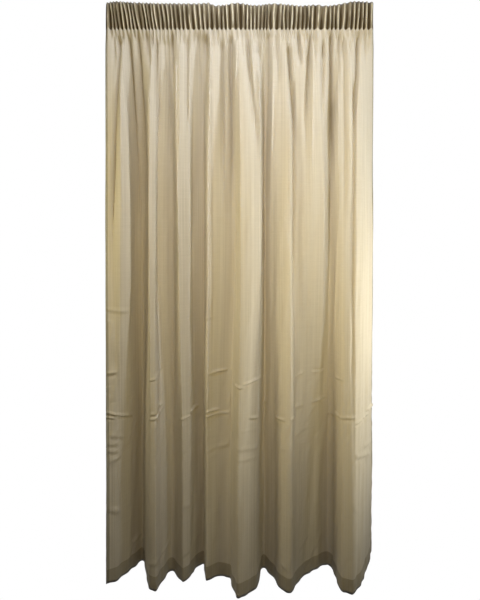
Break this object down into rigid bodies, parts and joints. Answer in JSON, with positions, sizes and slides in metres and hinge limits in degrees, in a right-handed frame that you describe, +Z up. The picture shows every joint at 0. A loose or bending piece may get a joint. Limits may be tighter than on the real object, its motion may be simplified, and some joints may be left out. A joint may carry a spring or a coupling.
{
  "type": "sheer curtain",
  "caption": "Long sheer curtain panel hanging in soft uneven folds from a pencil-pleat gathered heading, with a turned hem and side hems.",
  "frame": {"origin": "middle of the heading's top edge, halfway through the pleats' depth", "axes": "+Z up along the drop, +X to the viewer's right across the curtain, +Y away from the viewer through the folds"},
  "size_m": [0.8854, 0.1942, 1.8393],
  "materials": {
    "sheer_cloth": "semi-sheer beige weave with a fine upright stripe, matt",
    "heading_tape": "dark olive-brown woven tape, matt"
  },
  "bodies": {
    "root": {"curtain_cloth": "sheer_cloth", "heading_tape": "heading_tape"}
  },
  "joints": []
}
